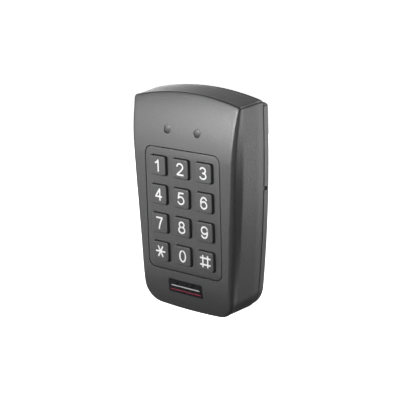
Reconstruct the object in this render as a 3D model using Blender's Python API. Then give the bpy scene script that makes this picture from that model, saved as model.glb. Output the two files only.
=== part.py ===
"""Wall-mounted card reader with a twelve-key pad, modelled as it comes apart on a bench.

World frame: +X to the right seen from the front, +Z up, +Y into the wall. The origin is the
middle of the flat back face, so every piece lies at negative Y, in front of the wall.
"""
import math

import bmesh
import bpy
from mathutils import Matrix, Vector

MM = 0.001
GAP = 0.3 * MM                     # clearance between neighbouring pieces

# Depths, as Y coordinates (the wall is at 0)
FRONT_Y = -28.1 * MM               # flat middle of the front face
COVER_REAR_Y = -5.8 * MM           # open rear edge of the front cover
BASE_SHELF_Y = -4.6 * MM           # step of the back plate behind the seam
BASE_LIP_Y = -9.4 * MM             # top of the back plate's inner lip
BASE_FLOOR_Y = -2.4 * MM           # inner face of the back plate's floor
WALL = 2.2 * MM                    # wall thickness of the cover

# Front face: flat in the middle, bent back towards the top and the bottom
BEND_TOP_Z = 23.5 * MM
BEND_TOP_RADIUS = 109.0 * MM
BEND_FOOT_Z = -38.6 * MM
BEND_FOOT_RADIUS = 84.5 * MM

# Half-widths: parabolas about the height where each is narrowest or widest
FRONT_NARROWEST = 31.5 * MM
FRONT_NARROWEST_Z = -84.0 * MM
FRONT_FLARE_RADIUS = 1650.0 * MM
SEAM_WIDEST = 37.8 * MM
SEAM_WIDEST_Z = 37.65 * MM
SEAM_BOW_RADIUS = 720.0 * MM
SIDE_DRAFT = 1.13 * MM             # how far the side wall leans in towards the front
SHOULDER_DEPTH = 6.3 * MM          # front plane to the outer edge of the side shoulder
SHOULDER_SLOPE = 0.018             # the shoulder gets deeper upwards

# Arched top edge and nearly straight foot
TOP_APEX_SEAM = 60.8 * MM
TOP_APEX_SHOULDER = 59.3 * MM
TOP_APEX_FRONT = 58.3 * MM
ARCH_RADIUS = 155.0 * MM
FOOT_SEAM = -61.2 * MM
FOOT_SHOULDER = -61.1 * MM
FOOT_FRONT = -60.5 * MM
FOOT_RADIUS = 330.0 * MM
TOP_CORNER_FRONT = 1.8 * MM
TOP_CORNER_SEAM = 1.8 * MM
FOOT_CORNER_FRONT = 9.6 * MM
FOOT_CORNER_SEAM = 11.6 * MM

# Soft edge round the front face: how far each ring lies inside the outline at the sides, above
# it at the top and below it at the foot, and how far behind the front surface
FACE_RING = (1.4 * MM, -0.1 * MM, 0.6 * MM, 0.0)
EDGE_RINGS = ((0.45 * MM, 0.3 * MM, 0.2 * MM, 0.35 * MM), (-0.1 * MM, 0.75 * MM, -0.35 * MM, 1.1 * MM))
FACE_SHARES = (0.08, 0.45, 0.72, 0.88)   # rings inside the front face, as shares of its outline
SHOULDER_INNER_SHARE = 0.4         # the inner skin follows the shoulder at this share of WALL

# Back plate, seen as a band behind the seam
BASE_INSET = 0.55 * MM
BASE_TOP_INSET = 2.0 * MM
BASE_REAR_ROUND = 1.4 * MM
NOTCH_Z = 8.9 * MM                 # pry notches in both sides of the back plate
NOTCH_HEIGHT = 2.2 * MM
NOTCH_DEPTH = 1.3 * MM

# Keypad
KEYPAD_Z = -4.7 * MM
KEY_PITCH = 16.0 * MM
KEY_WIDTH = 11.0 * MM
KEY_HEIGHT = 10.65 * MM
KEY_RISE = 1.5 * MM                # cap standing proud of the bezel
KEY_CORNER = 1.1 * MM
KEY_FLANGE = 1.2 * MM              # flange beyond the cap, behind the bezel
KEY_FLANGE_THICKNESS = 0.8 * MM
KEY_TRAVEL = 1.2 * MM
KEY_STEM = 6.0 * MM
KEYMAT_THICKNESS = 1.2 * MM
APERTURE_WIDTH = 11.7 * MM
APERTURE_HEIGHT = 11.3 * MM
BEZEL_WIDTH = 51.9 * MM
BEZEL_HEIGHT = 67.7 * MM
BEZEL_CORNER = 4.3 * MM
BEZEL_GROOVE = 0.5 * MM            # open groove between bezel and cover
BEZEL_THICKNESS = 2.8 * MM
BEZEL_FLANGE = 1.4 * MM
BEZEL_FLANGE_STEP = 0.8 * MM
KEY_NAMES = (("1", "2", "3"), ("4", "5", "6"), ("7", "8", "9"), ("star", "0", "hash"))

# Indicator lamps and name plate
LED_X = 10.45 * MM
LED_Z = 39.35 * MM
LED_RADIUS = 2.3 * MM
LED_PROUD = 0.15 * MM              # dome almost level with the cover
LED_FLANGE = 0.4 * MM
LED_FLANGE_THICKNESS = 1.0 * MM
BADGE_X = -0.45 * MM
BADGE_WIDTH = 24.0 * MM
BADGE_HEIGHT = 7.5 * MM
BADGE_THICKNESS = 0.8 * MM
BADGE_Z = -47.5 * MM

# Circuit board and what it carries
BOARD_FRONT_Y = -21.2 * MM
BOARD_THICKNESS = 1.6 * MM
BOARD_WIDTH = 54.0 * MM
BOARD_TOP = 50.0 * MM
BOARD_FOOT = -47.0 * MM
BOARD_CORNER = 2.5 * MM
CHIP_PLACE = (-9.0 * MM, 14.0 * MM)
CHIP_SIZE = (10.0 * MM, 1.6 * MM)          # side and height
RADIO_PLACE = (9.0 * MM, 26.0 * MM)
RADIO_SIZE = (7.0 * MM, 1.2 * MM)
BUZZER_PLACE = (-9.0 * MM, -30.5 * MM)
BUZZER_SIZE = (6.0 * MM, 5.5 * MM)         # radius and height, as for the next two
CAPACITOR_PLACE = (12.0 * MM, 8.0 * MM)
CAPACITOR_SIZE = (3.15 * MM, 7.5 * MM)
TAMPER_PLACE = (14.0 * MM, -34.0 * MM)
TAMPER_SIZE = (1.5 * MM, 9.0 * MM)
CONNECTOR_SIZE = (26.0 * MM, 6.0 * MM, 7.0 * MM)
CONNECTOR_WALL = 0.8 * MM
CONNECTOR_FLOOR = 2.0 * MM
COIL_WIDTH = 38.0 * MM
COIL_HEIGHT = 84.0 * MM
COIL_BAND = 2.5 * MM
COIL_THICKNESS = 1.8 * MM
COIL_CORNER = 5.0 * MM
MAT_WIDTH = 52.0 * MM
MAT_HEIGHT = 68.0 * MM
MAT_CORNER = 3.0 * MM
BOSS_X = 22.0 * MM
BOSS_TOP_Z = 45.5 * MM
BOSS_FOOT_Z = -43.9 * MM
BOSS_RADIUS = 2.9 * MM
SCREW_RADIUS = 1.2 * MM
SCREW_HEAD_RADIUS = 2.3 * MM
SCREW_HEAD = 1.5 * MM
SCREW_BITE = 2.9 * MM              # thread length in the boss, from the board's front

# Back plate openings and the case screw
CABLE_Z = -14.0 * MM
CABLE_HOLE_RADIUS = 8.0 * MM
CABLE_BORE_RADIUS = 4.6 * MM
SLOT_Z = 42.0 * MM
SLOT_WIDTH = 3.8 * MM
SLOT_LENGTH = 8.0 * MM
CASE_SCREW_Y = -14.4 * MM
CASE_SCREW_RADIUS = 1.5 * MM
CASE_SCREW_HEAD_RADIUS = 2.6 * MM
CASE_SCREW_SEAT = 1.5 * MM         # counterbore depth, up from the foot
CASE_SCREW_TIP_Z = -49.5 * MM
WALL_HOLE_X = 24.0 * MM
WALL_HOLE_Z = 5.0 * MM
SCREW_BOSS_Y = (-18.4 * MM, -1.4 * MM)     # back plate's boss for the case screw
SCREW_BOSS_Z = (-56.6 * MM, -49.0 * MM)
SCREW_BOSS_WIDTH = 10.0 * MM

# Two hooks of the back plate reach over ledges inside the cover's top
HOOK_X = 12.0 * MM
HOOK_WIDTH = 8.0 * MM
LEDGE_Y = (-12.2 * MM, -10.6 * MM)
LEDGE_Z = (55.3 * MM, 58.3 * MM)
HOOK_FRONT_Y = -13.8 * MM
HOOK_NOSE_REAR_Y = -12.5 * MM
HOOK_POST_Z = (53.4 * MM, 54.9 * MM)
HOOK_NOSE_Z = (54.0 * MM, 56.3 * MM)

# Lip and sealing ring of the back plate
LIP_THICKNESS = 1.5 * MM
LIP_DRAFT = 0.2 * MM
LIP_TOP_INSET = 1.2 * MM           # the arched top of the lip lies this much lower
GASKET_INSET = 1.0 * MM
GROMMET_FLANGE = 1.8 * MM
GROMMET_FLANGE_THICKNESS = 1.4 * MM


def remove_everything():
    for item in list(bpy.data.objects):
        bpy.data.objects.remove(item, do_unlink=True)


def make_material(name, colour, roughness, metallic=0.0):
    material = bpy.data.materials.new(name)
    material.use_nodes = True
    shader = material.node_tree.nodes["Principled BSDF"]
    shader.inputs["Base Color"].default_value = (*colour, 1.0)
    shader.inputs["Roughness"].default_value = roughness
    shader.inputs["Metallic"].default_value = metallic
    return material


def loft(name, rings, material, smooth_angle=35.0):
    """Closed solid through equal rings of points, with a flat or domed cap at each end."""
    mesh = bpy.data.meshes.new(name)
    bm = bmesh.new()
    loops = [[bm.verts.new(point) for point in ring] for ring in rings]
    count = len(loops[0])
    for near, far in zip(loops, loops[1:]):
        for i in range(count):
            j = (i + 1) % count
            bm.faces.new((near[i], near[j], far[j], far[i]))
    bm.faces.new(loops[0])
    bm.faces.new(list(reversed(loops[-1])))
    bmesh.ops.recalc_face_normals(bm, faces=bm.faces)
    bm.to_mesh(mesh)
    bm.free()
    mesh.shade_smooth()
    mesh.set_sharp_from_angle(angle=math.radians(smooth_angle))
    mesh.materials.append(material)
    item = bpy.data.objects.new(name, mesh)
    bpy.context.scene.collection.objects.link(item)
    return item


def rounded_rectangle(width, height, corner, steps=3):
    """Points (x, z) of a rectangle with round corners, about the origin."""
    points = []
    for quarter, (sx, sz) in enumerate(((1, 1), (-1, 1), (-1, -1), (1, -1))):
        for step in range(steps + 1):
            angle = math.radians(90.0) * (quarter + step / steps)
            points.append((sx * (width / 2 - corner) + corner * math.cos(angle),
                           sz * (height / 2 - corner) + corner * math.sin(angle)))
    return points


def circle(radius, sides=20):
    """Points (x, z) of a circle about the origin."""
    return [(radius * math.cos(math.tau * i / sides), radius * math.sin(math.tau * i / sides))
            for i in range(sides)]


def at_depth(points, y, x=0.0, z=0.0):
    """A flat ring of (x, z) points, moved to a depth and a place on the front."""
    return [Vector((x + px, y, z + pz)) for px, pz in points]


def prism(name, points, y_front, y_back, material, x=0.0, z=0.0):
    return loft(name, [at_depth(points, y_front, x, z), at_depth(points, y_back, x, z)], material)


def cut(item, cutters, operation="DIFFERENCE"):
    """Boolean with the EXACT solver; the cutters stay as hidden guides."""
    for cutter in cutters:
        modifier = item.modifiers.new(cutter.name, "BOOLEAN")
        modifier.operation = operation
        modifier.solver = "EXACT"
        modifier.object = cutter
        cutter.hide_render = True
        cutter.display_type = "WIRE"


def front_surface(z):
    """Y of the outer front face at height z."""
    if z > BEND_TOP_Z:
        return FRONT_Y + (z - BEND_TOP_Z) ** 2 / (2 * BEND_TOP_RADIUS)
    if z < BEND_FOOT_Z:
        return FRONT_Y + (BEND_FOOT_Z - z) ** 2 / (2 * BEND_FOOT_RADIUS)
    return FRONT_Y


def front_half_width(z):
    return FRONT_NARROWEST + (z - FRONT_NARROWEST_Z) ** 2 / (2 * FRONT_FLARE_RADIUS)


def seam_half_width(z):
    return SEAM_WIDEST - (z - SEAM_WIDEST_Z) ** 2 / (2 * SEAM_BOW_RADIUS)


def shoulder_depth(z):
    return FRONT_Y + SHOULDER_DEPTH + SHOULDER_SLOPE * z


def fillet(corner, start, end, steps):
    """Points of a round corner from start to end, both excluded."""
    legs = (start - corner).normalized().dot((end - corner).normalized())
    weight = math.sin(math.acos(legs) / 2)
    points = []
    for i in range(1, steps):
        t = i / steps
        blend = ((1 - t) ** 2, 2 * t * (1 - t) * weight, t * t)
        points.append((start * blend[0] + corner * blend[1] + end * blend[2]) / sum(blend))
    return points


def outline(half_width, apex, foot, top_corner, foot_corner, steps=(8, 3, 12, 6, 5)):
    """Closed outline (x, z): arched top, bowed sides, round lower corners.

    It starts at the middle of the top and runs down the right side first.
    """
    def arch(x):
        return apex - x * x / (2 * ARCH_RADIUS)

    def sole(x):
        return foot + x * x / (2 * FOOT_RADIUS)

    top = Vector((half_width(apex), arch(half_width(apex))))
    low = Vector((half_width(foot), sole(half_width(foot))))
    for _ in range(5):
        top = Vector((half_width(top.y), arch(half_width(top.y))))
        low = Vector((half_width(low.y), sole(half_width(low.y))))
    reach = top_corner * 0.8
    top_start = Vector((top.x - reach, arch(top.x - reach)))
    top_end = Vector((half_width(top.y - reach), top.y - reach))
    low_start = Vector((half_width(low.y + foot_corner), low.y + foot_corner))
    low_end = Vector((low.x - foot_corner, sole(low.x - foot_corner)))

    half = []
    for i in range(steps[0] + 1):
        x = top_start.x * i / steps[0]
        half.append(Vector((x, arch(x))))
    half += fillet(top, top_start, top_end, steps[1])
    for i in range(steps[2] + 1):
        z = top_end.y + (low_start.y - top_end.y) * i / steps[2]
        half.append(Vector((half_width(z), z)))
    half += fillet(low, low_start, low_end, steps[3])
    for i in range(steps[4] + 1):
        x = low_end.x * (1 - i / steps[4])
        half.append(Vector((x, sole(x))))
    return half + [Vector((-p.x, p.y)) for p in reversed(half[1:-1])]


def skin_rings(inset, rear_y):
    """Rings of the cover's skin from the middle of the front face to the rear edge.

    inset moves the whole skin inwards, which gives the inner face of the shell.
    """
    edges = []
    for side, top, sole, depth in (FACE_RING, *EDGE_RINGS):
        points = outline(lambda z: front_half_width(z) - inset - side,
                         TOP_APEX_FRONT - inset + top, FOOT_FRONT + inset + sole,
                         TOP_CORNER_FRONT, FOOT_CORNER_FRONT)
        edges.append((points, depth))
    middle = Vector((0.0, KEYPAD_Z))
    inner = [([middle + (p - middle) * share for p in edges[0][0]], 0.0) for share in FACE_SHARES]
    rings = [[Vector((p.x, front_surface(p.y) + inset + depth, p.y)) for p in points]
             for points, depth in inner + edges]
    points = outline(lambda z: seam_half_width(z) - inset - SIDE_DRAFT,
                     TOP_APEX_SHOULDER - inset, FOOT_SHOULDER + inset,
                     TOP_CORNER_FRONT, FOOT_CORNER_FRONT)
    rings.append([Vector((p.x, shoulder_depth(p.y) + inset * SHOULDER_INNER_SHARE, p.y)) for p in points])
    points = outline(lambda z: seam_half_width(z) - inset, TOP_APEX_SEAM - inset,
                     FOOT_SEAM + inset, TOP_CORNER_SEAM, FOOT_CORNER_SEAM)
    rings.append([Vector((p.x, rear_y, p.y)) for p in points])
    return rings


def build_cover(material):
    """Front cover: one moulded shell, open at the rear, with its bosses and openings."""
    cover = loft("front_cover", skin_rings(0.0, COVER_REAR_Y)
                 + list(reversed(skin_rings(WALL, COVER_REAR_Y))), material)
    bosses = []
    for x, z in board_screw_places():
        bosses.append(prism(f"guide_boss_{len(bosses)}", circle(BOSS_RADIUS, 16),
                            front_surface(z) + WALL / 2, BOARD_FRONT_Y - GAP, material, x, z))
    for side in (-1, 1):
        bosses.append(block(f"guide_hook_ledge_{side}", side * HOOK_X, LEDGE_Y, LEDGE_Z,
                            HOOK_WIDTH, material))
    cut(cover, bosses, "UNION")
    openings = [prism("guide_panel_opening",
                      rounded_rectangle(BEZEL_WIDTH + 2 * BEZEL_GROOVE,
                                        BEZEL_HEIGHT + 2 * BEZEL_GROOVE,
                                        BEZEL_CORNER + BEZEL_GROOVE, 4),
                      FRONT_Y - 3 * MM, FRONT_Y + 6 * MM, material, 0.0, KEYPAD_Z)]
    for side in (-1, 1):
        openings.append(prism(f"guide_led_hole_{side}", circle(LED_RADIUS + GAP, 20),
                              FRONT_Y - 3 * MM, FRONT_Y + 8 * MM, material, side * LED_X, LED_Z))
    for x, z in board_screw_places():
        openings.append(prism(f"guide_boss_bore_{len(openings)}", circle(SCREW_RADIUS + GAP, 12),
                              BOARD_FRONT_Y - SCREW_BITE - GAP, BOARD_FRONT_Y + 1 * MM,
                              material, x, z))
    pocket = badge_plate("guide_badge_pocket", BADGE_WIDTH + 2 * GAP, BADGE_HEIGHT + 2 * GAP,
                         -2.0 * MM, BADGE_THICKNESS + GAP, material)
    openings.append(pocket)
    openings.append(upright_pin("guide_screw_clearance", CASE_SCREW_RADIUS + GAP,
                                -70 * MM, -50 * MM, material))
    openings.append(upright_pin("guide_screw_counterbore", CASE_SCREW_HEAD_RADIUS + GAP,
                                -70 * MM, FOOT_SEAM + CASE_SCREW_SEAT, material))
    cut(cover, openings)
    return cover


def block(name, x, y_range, z_range, width, material):
    """Rectangular block centred on x."""
    corners = ((x - width / 2, z_range[0]), (x + width / 2, z_range[0]),
               (x + width / 2, z_range[1]), (x - width / 2, z_range[1]))
    return loft(name, [at_depth(corners, y) for y in y_range], material)


def upright_pin(name, radius, z_low, z_high, material, sides=14):
    """Round bar along Z at the case screw's place."""
    rings = [[Vector((px, CASE_SCREW_Y + pz, z)) for px, pz in circle(radius, sides)]
             for z in (z_low, z_high)]
    return loft(name, rings, material)


def badge_plate(name, width, height, y_front, y_back, material):
    """Plate lying on the front surface where that bends back; depths are below the surface."""
    tilt = math.atan2(front_surface(BADGE_Z - BADGE_HEIGHT / 2)
                      - front_surface(BADGE_Z + BADGE_HEIGHT / 2), BADGE_HEIGHT)
    points = rounded_rectangle(width, height, 0.5 * MM, 2)
    plate = loft(name, [at_depth(points, y_front), at_depth(points, y_back)], material)
    plate.location = (BADGE_X, front_surface(BADGE_Z), BADGE_Z)
    plate.rotation_euler = (tilt, 0.0, 0.0)
    return plate


def build_bezel(material):
    """Keypad bezel: flush front plate, flange behind the cover, twelve openings."""
    back = FRONT_Y + BEZEL_THICKNESS
    wide = BEZEL_WIDTH + 2 * BEZEL_GROOVE + 2 * BEZEL_FLANGE
    tall = BEZEL_HEIGHT + 2 * BEZEL_GROOVE + 2 * BEZEL_FLANGE
    sections = ((BEZEL_WIDTH - 0.4 * MM, BEZEL_HEIGHT - 0.4 * MM, FRONT_Y),
                (BEZEL_WIDTH, BEZEL_HEIGHT, FRONT_Y + 0.2 * MM),
                (BEZEL_WIDTH, BEZEL_HEIGHT, back),
                (wide, tall, back),
                (wide, tall, back + BEZEL_FLANGE_STEP),
                (BEZEL_WIDTH - 2.0 * MM, BEZEL_HEIGHT - 2.0 * MM, back + BEZEL_FLANGE_STEP),
                (BEZEL_WIDTH - 2.0 * MM, BEZEL_HEIGHT - 2.0 * MM, back))
    rings = [at_depth(rounded_rectangle(w, h, BEZEL_CORNER, 4), y, 0.0, KEYPAD_Z)
             for w, h, y in sections]
    bezel = loft("keypad_bezel", rings, material)
    cutters = []
    for name, x, z in key_places():
        cutters.append(prism(f"guide_aperture_{name}",
                             rounded_rectangle(APERTURE_WIDTH, APERTURE_HEIGHT, KEY_CORNER, 2),
                             FRONT_Y - 2 * MM, back + 2 * MM, material, x, z))
    cut(bezel, cutters)


def key_places():
    """Name, x and z of each key, row by row from the top."""
    for row, names in enumerate(KEY_NAMES):
        for column, name in enumerate(names):
            yield name, (column - 1) * KEY_PITCH, KEYPAD_Z + (1.5 - row) * KEY_PITCH


def board_screw_places():
    return [(x, z) for z in (BOSS_TOP_Z, BOSS_FOOT_Z) for x in (-BOSS_X, BOSS_X)]


def build_keys(material):
    """Twelve keys: cap, retaining flange and the stem that reaches for the board."""
    cap_front = -KEY_RISE
    flange_front = BEZEL_THICKNESS + GAP
    flange_back = flange_front + KEY_FLANGE_THICKNESS
    stem_end = BOARD_FRONT_Y - FRONT_Y - GAP - KEY_TRAVEL
    sections = ((-0.7 * MM, cap_front, KEY_CORNER),
                (-0.15 * MM, cap_front + 0.25 * MM, KEY_CORNER),
                (0.0, cap_front + 0.7 * MM, KEY_CORNER),
                (0.2 * MM, flange_front, KEY_CORNER),
                (2 * KEY_FLANGE, flange_front, KEY_CORNER),
                (2 * KEY_FLANGE, flange_back, KEY_CORNER))
    rings = [at_depth(rounded_rectangle(KEY_WIDTH + grow, KEY_HEIGHT + grow, corner, 2), y)
             for grow, y, corner in sections]
    for y in (flange_back, stem_end):
        rings.append(at_depth(rounded_rectangle(KEY_STEM, KEY_STEM, KEY_CORNER, 2), y))
    pattern = loft("key_pattern", rings, material)
    for name, x, z in key_places():
        key = bpy.data.objects.new(f"key_{name}", pattern.data)
        key.location = (x, FRONT_Y, z)
        bpy.context.scene.collection.objects.link(key)
    bpy.data.objects.remove(pattern, do_unlink=True)


def build_keymat(material):
    """Silicone mat on the board, with an opening for each key's stem."""
    back = BOARD_FRONT_Y - GAP
    mat = prism("keypad_mat", rounded_rectangle(MAT_WIDTH, MAT_HEIGHT, MAT_CORNER, 3),
                back - KEYMAT_THICKNESS, back, material, 0.0, KEYPAD_Z)
    cutters = [prism(f"guide_dome_{name}", circle(KEY_STEM * 0.74, 12), back - 4 * MM,
                     back + 2 * MM, material, x, z) for name, x, z in key_places()]
    cut(mat, cutters)


def build_leds(material):
    """Two domed lamps standing on the board and showing through the cover."""
    tip = front_surface(LED_Z) - LED_PROUD
    foot = BOARD_FRONT_Y - GAP
    for name, side in (("left", -1), ("right", 1)):
        sections = [(LED_RADIUS * math.sin(math.radians(a)),
                     tip + LED_RADIUS * (1 - math.cos(math.radians(a)))) for a in (8, 30, 55, 90)]
        sections += [(LED_RADIUS, foot - LED_FLANGE_THICKNESS),
                     (LED_RADIUS + LED_FLANGE, foot - LED_FLANGE_THICKNESS),
                     (LED_RADIUS + LED_FLANGE, foot)]
        rings = [at_depth(circle(r, 16), y, side * LED_X, LED_Z) for r, y in sections]
        loft(f"status_led_{name}", rings, material)


def build_board(material):
    board = prism("circuit_board",
                  rounded_rectangle(BOARD_WIDTH, BOARD_TOP - BOARD_FOOT, BOARD_CORNER, 3),
                  BOARD_FRONT_Y, BOARD_FRONT_Y + BOARD_THICKNESS, material,
                  0.0, (BOARD_TOP + BOARD_FOOT) / 2)
    cutters = [prism(f"guide_board_hole_{i}", circle(SCREW_RADIUS + GAP, 12),
                     BOARD_FRONT_Y - 2 * MM, BOARD_FRONT_Y + 4 * MM, material, x, z)
               for i, (x, z) in enumerate(board_screw_places())]
    cut(board, cutters)


def build_board_screws(material):
    """Four pan-head screws from behind, each a solid with a plain shank."""
    rear = BOARD_FRONT_Y + BOARD_THICKNESS + GAP
    sections = ((SCREW_HEAD_RADIUS * 0.6, rear + SCREW_HEAD),
                (SCREW_HEAD_RADIUS, rear + SCREW_HEAD * 0.6),
                (SCREW_HEAD_RADIUS, rear),
                (SCREW_RADIUS, rear),
                (SCREW_RADIUS, BOARD_FRONT_Y - SCREW_BITE + 0.3 * MM),
                (SCREW_RADIUS * 0.6, BOARD_FRONT_Y - SCREW_BITE))
    for i, (x, z) in enumerate(board_screw_places()):
        rings = [at_depth(circle(r, 12), y, x, z) for r, y in sections]
        loft(f"board_screw_{i + 1}", rings, material)


def board_part(name, points, height, place, material):
    """A component standing on the rear of the board."""
    rear = BOARD_FRONT_Y + BOARD_THICKNESS + GAP
    return prism(name, points, rear, rear + height, material, *place)


def build_components(resin, copper, nylon, steel):
    """Electronics on the rear of the board."""
    for name, place, (side, height) in (("microcontroller", CHIP_PLACE, CHIP_SIZE),
                                        ("radio_chip", RADIO_PLACE, RADIO_SIZE)):
        board_part(name, rounded_rectangle(side, side, 0.5 * MM, 1), height, place, resin)
    for name, place, (radius, height), material in (
            ("buzzer", BUZZER_PLACE, BUZZER_SIZE, resin),
            ("capacitor", CAPACITOR_PLACE, CAPACITOR_SIZE, steel),
            ("tamper_sensor", TAMPER_PLACE, TAMPER_SIZE, resin)):
        board_part(name, circle(radius, 20), height, place, material)
    width, height, depth = CONNECTOR_SIZE
    connector = board_part("cable_connector", rounded_rectangle(width, height, 0.4 * MM, 1),
                           depth, (0.0, CABLE_Z), nylon)
    rear = BOARD_FRONT_Y + BOARD_THICKNESS + GAP
    mouth = rounded_rectangle(width - 2 * CONNECTOR_WALL, height - 2 * CONNECTOR_WALL,
                              0.3 * MM, 1)
    cut(connector, [prism("guide_connector_socket", mouth, rear + CONNECTOR_FLOOR,
                          rear + 2 * depth, nylon, 0.0, CABLE_Z)])

    middle_z = (BOARD_TOP + BOARD_FOOT) / 2
    sections = ((0.0, 0.0), (0.0, COIL_THICKNESS), (2 * COIL_BAND, COIL_THICKNESS),
                (2 * COIL_BAND, 0.0))
    rings = [at_depth(rounded_rectangle(COIL_WIDTH - less, COIL_HEIGHT - less, COIL_CORNER, 4),
                      rear + depth, 0.0, middle_z) for less, depth in sections]
    tube("antenna_coil", rings, copper)


def tube(name, rings, material):
    """Closed ring: the rings join head to tail, with no caps."""
    mesh = bpy.data.meshes.new(name)
    bm = bmesh.new()
    loops = [[bm.verts.new(point) for point in ring] for ring in rings]
    count = len(loops[0])
    for near, far in zip(loops, loops[1:] + loops[:1]):
        for i in range(count):
            j = (i + 1) % count
            bm.faces.new((near[i], near[j], far[j], far[i]))
    bmesh.ops.recalc_face_normals(bm, faces=bm.faces)
    bm.to_mesh(mesh)
    bm.free()
    mesh.shade_smooth()
    mesh.set_sharp_from_angle(angle=math.radians(35.0))
    mesh.materials.append(material)
    item = bpy.data.objects.new(name, mesh)
    bpy.context.scene.collection.objects.link(item)
    return item


def base_outline(inset, top_extra=0.0):
    """Outline of the case at the seam, moved inwards; the top can be lower still."""
    return outline(lambda z: seam_half_width(z) - inset, TOP_APEX_SEAM - inset - top_extra,
                   FOOT_SEAM + inset, TOP_CORNER_SEAM, FOOT_CORNER_SEAM)


def build_gasket(material):
    """Flat rubber ring squeezed between the back plate's shelf and the cover's edge."""
    front = COVER_REAR_Y + GAP
    back = BASE_SHELF_Y - GAP
    outer = base_outline(GASKET_INSET, LIP_TOP_INSET)
    inner = base_outline(WALL, LIP_TOP_INSET)
    rings = [[Vector((p.x, y, p.y)) for p in points]
             for points, y in ((outer, front), (outer, back), (inner, back), (inner, front))]
    tube("case_gasket", rings, material)


def build_back_plate(material):
    """Back plate: floor, side band with a round rear edge, and the lip inside the cover."""
    band_top = BASE_TOP_INSET - BASE_INSET
    lip = WALL + GAP
    sections = ((BASE_INSET + BASE_REAR_ROUND, band_top, 0.0),
                (BASE_INSET + BASE_REAR_ROUND * 0.3, band_top, -BASE_REAR_ROUND * 0.3),
                (BASE_INSET, band_top, -BASE_REAR_ROUND),
                (BASE_INSET, band_top, BASE_SHELF_Y),
                (lip, LIP_TOP_INSET, BASE_SHELF_Y),
                (lip + LIP_DRAFT, LIP_TOP_INSET, BASE_LIP_Y),
                (lip + LIP_DRAFT + LIP_THICKNESS, LIP_TOP_INSET, BASE_LIP_Y),
                (lip + LIP_DRAFT + LIP_THICKNESS, LIP_TOP_INSET, BASE_FLOOR_Y))
    rings = [[Vector((p.x, y, p.y)) for p in base_outline(inset, extra)]
             for inset, extra, y in sections]
    plate = loft("back_plate", rings, material)

    joined = [block("guide_screw_boss", 0.0, SCREW_BOSS_Y, SCREW_BOSS_Z, SCREW_BOSS_WIDTH,
                    material)]
    for side in (-1, 1):
        x = side * HOOK_X
        joined.append(block(f"guide_hook_post_{side}", x, (HOOK_FRONT_Y, BASE_SHELF_Y),
                            HOOK_POST_Z, HOOK_WIDTH, material))
        joined.append(block(f"guide_hook_nose_{side}", x, (HOOK_FRONT_Y, HOOK_NOSE_REAR_Y),
                            HOOK_NOSE_Z, HOOK_WIDTH, material))
    cut(plate, joined, "UNION")
    cutters = [upright_pin("guide_boss_thread", CASE_SCREW_RADIUS + GAP, -60 * MM, -40 * MM,
                           material),
               prism("guide_cable_hole", circle(CABLE_HOLE_RADIUS, 28), -6 * MM, 2 * MM,
                     material, 0.0, CABLE_Z),
               prism("guide_tamper_window", circle(TAMPER_SIZE[0] + GAP, 12), -6 * MM, 2 * MM,
                     material, *TAMPER_PLACE),
               prism("guide_slot_top", rounded_rectangle(SLOT_WIDTH, SLOT_LENGTH,
                                                         SLOT_WIDTH * 0.49, 5),
                     -6 * MM, 2 * MM, material, 0.0, SLOT_Z),
               prism("guide_slot_foot", rounded_rectangle(SLOT_LENGTH, SLOT_WIDTH,
                                                          SLOT_WIDTH * 0.49, 5),
                     -6 * MM, 2 * MM, material, 0.0, -SLOT_Z + 3 * MM)]
    for side in (-1, 1):
        cutters.append(prism(f"guide_wall_hole_{side}", circle(SLOT_WIDTH / 2, 32), -6 * MM,
                             2 * MM, material, side * WALL_HOLE_X, WALL_HOLE_Z))
        notch_x = seam_half_width(NOTCH_Z) - BASE_INSET
        notch = rounded_rectangle(2 * NOTCH_DEPTH, NOTCH_HEIGHT, 0.3 * MM, 1)
        cutters.append(prism(f"guide_notch_{side}", notch, -6 * MM, BASE_SHELF_Y + 2.4 * MM,
                             material, side * notch_x, NOTCH_Z))
    cut(plate, cutters)


def build_grommet(material):
    """Rubber bush in the back plate's cable opening; its bore is where the lead goes in."""
    body = CABLE_HOLE_RADIUS - GAP
    flange = CABLE_HOLE_RADIUS + GROMMET_FLANGE
    flange_back = BASE_FLOOR_Y - GAP
    sections = ((CABLE_BORE_RADIUS, -GAP), (body, -GAP), (body, flange_back),
                (flange, flange_back), (flange, flange_back - GROMMET_FLANGE_THICKNESS),
                (CABLE_BORE_RADIUS, flange_back - GROMMET_FLANGE_THICKNESS))
    rings = [at_depth(circle(r, 48), y, 0.0, CABLE_Z) for r, y in sections]
    tube("cable_grommet", rings, material)


def build_case_screw(material):
    """Security screw that goes up through the cover's foot into the back plate's boss."""
    seat = FOOT_SEAM + CASE_SCREW_SEAT - GAP
    sections = ((CASE_SCREW_HEAD_RADIUS * 0.8, FOOT_SEAM + 0.3 * MM),
                (CASE_SCREW_HEAD_RADIUS, FOOT_SEAM + 0.5 * MM),
                (CASE_SCREW_HEAD_RADIUS, seat),
                (CASE_SCREW_RADIUS, seat),
                (CASE_SCREW_RADIUS, CASE_SCREW_TIP_Z - 1.0 * MM),
                (CASE_SCREW_RADIUS * 0.5, CASE_SCREW_TIP_Z))
    rings = [[Vector((px, CASE_SCREW_Y + pz, z)) for px, pz in circle(r, 14)]
             for r, z in sections]
    loft("case_screw", rings, material)


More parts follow.
